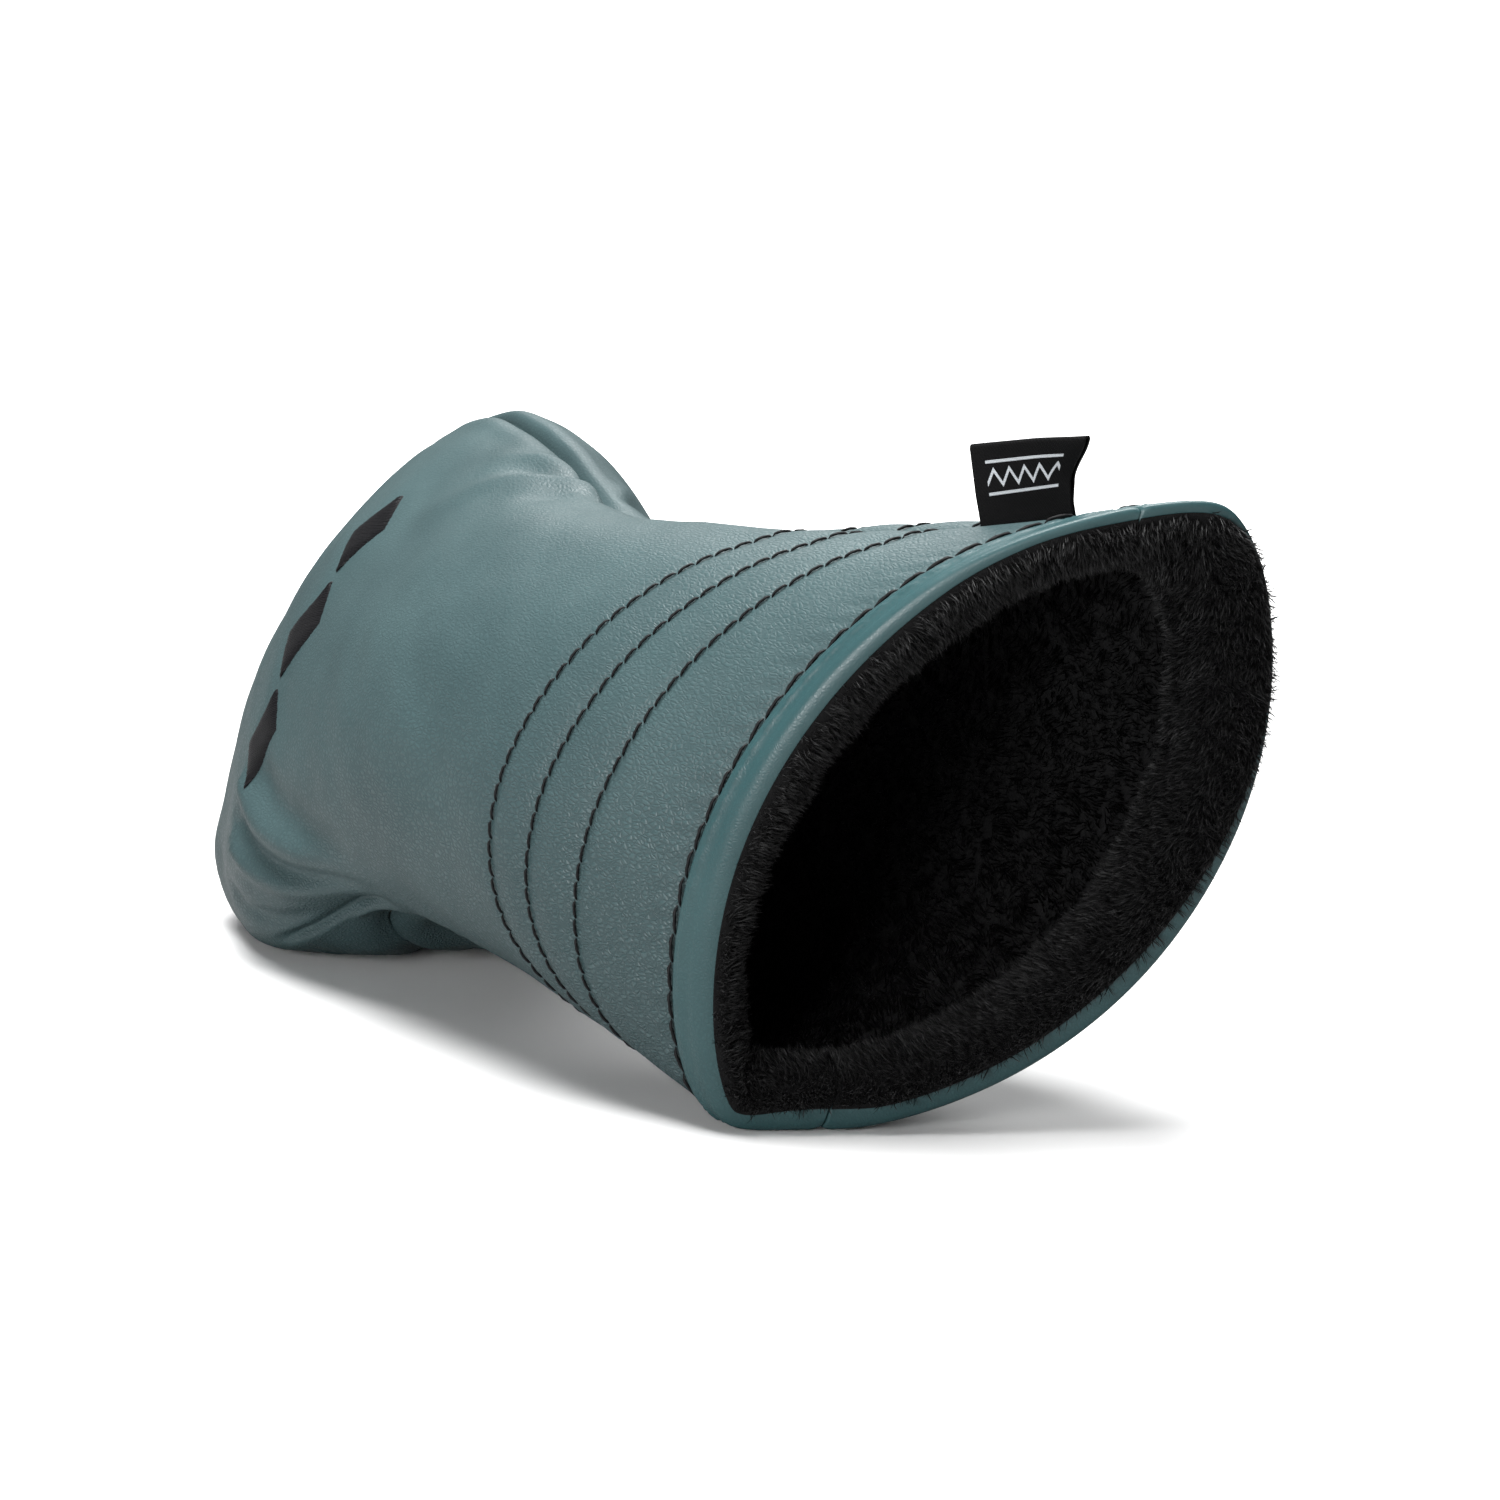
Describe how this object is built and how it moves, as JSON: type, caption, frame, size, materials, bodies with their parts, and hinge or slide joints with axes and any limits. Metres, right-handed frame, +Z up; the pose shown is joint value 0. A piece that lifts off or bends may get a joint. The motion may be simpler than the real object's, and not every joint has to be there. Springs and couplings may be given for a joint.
{
  "type": "golf club head cover",
  "caption": "Slip-on padded golf club head cover lying on its side, hourglass shape, with bound mouth, stitch rows, plush lining and a folded seam label.",
  "frame": {"origin": "on the floor under the middle of the lying cover's box", "axes": "+X along the cover from crown to mouth, +Z up from the floor, the front skin toward -Y"},
  "size_m": [0.2503, 0.0958, 0.1103],
  "materials": {
    "leather": "fine-grained satin coated leather, teal green",
    "foam": "soft foam padding",
    "plush": "short black plush pile",
    "elastic": "woven elastic band",
    "label": "black woven label",
    "thread": "black sewing thread",
    "satin": "black satin-stitch embroidery"
  },
  "bodies": {
    "cover": {"front_panel": "leather", "back_panel": "leather", "front_padding": "foam", "back_padding": "foam", "front_lining": "plush", "back_lining": "plush", "front_binding": "leather", "back_binding": "leather", "waist_elastic": "elastic", "row_thread_far": "thread", "row_thread_middle": "thread", "row_thread_near": "thread", "edge_thread": "thread", "crown_embroidery": "satin"},
    "label": {"label_tab": "label"}
  },
  "joints": [
    {"name": "label_flex", "type": "hinge", "parent": "cover", "child": "label", "pos_m": [0.09853, 0.01989, 0.09705], "axis": [0.9164, 0.3481, 0.1973], "range_deg": [-75, 70], "stiffness_Nm_per_rad": 0.0004}
  ]
}
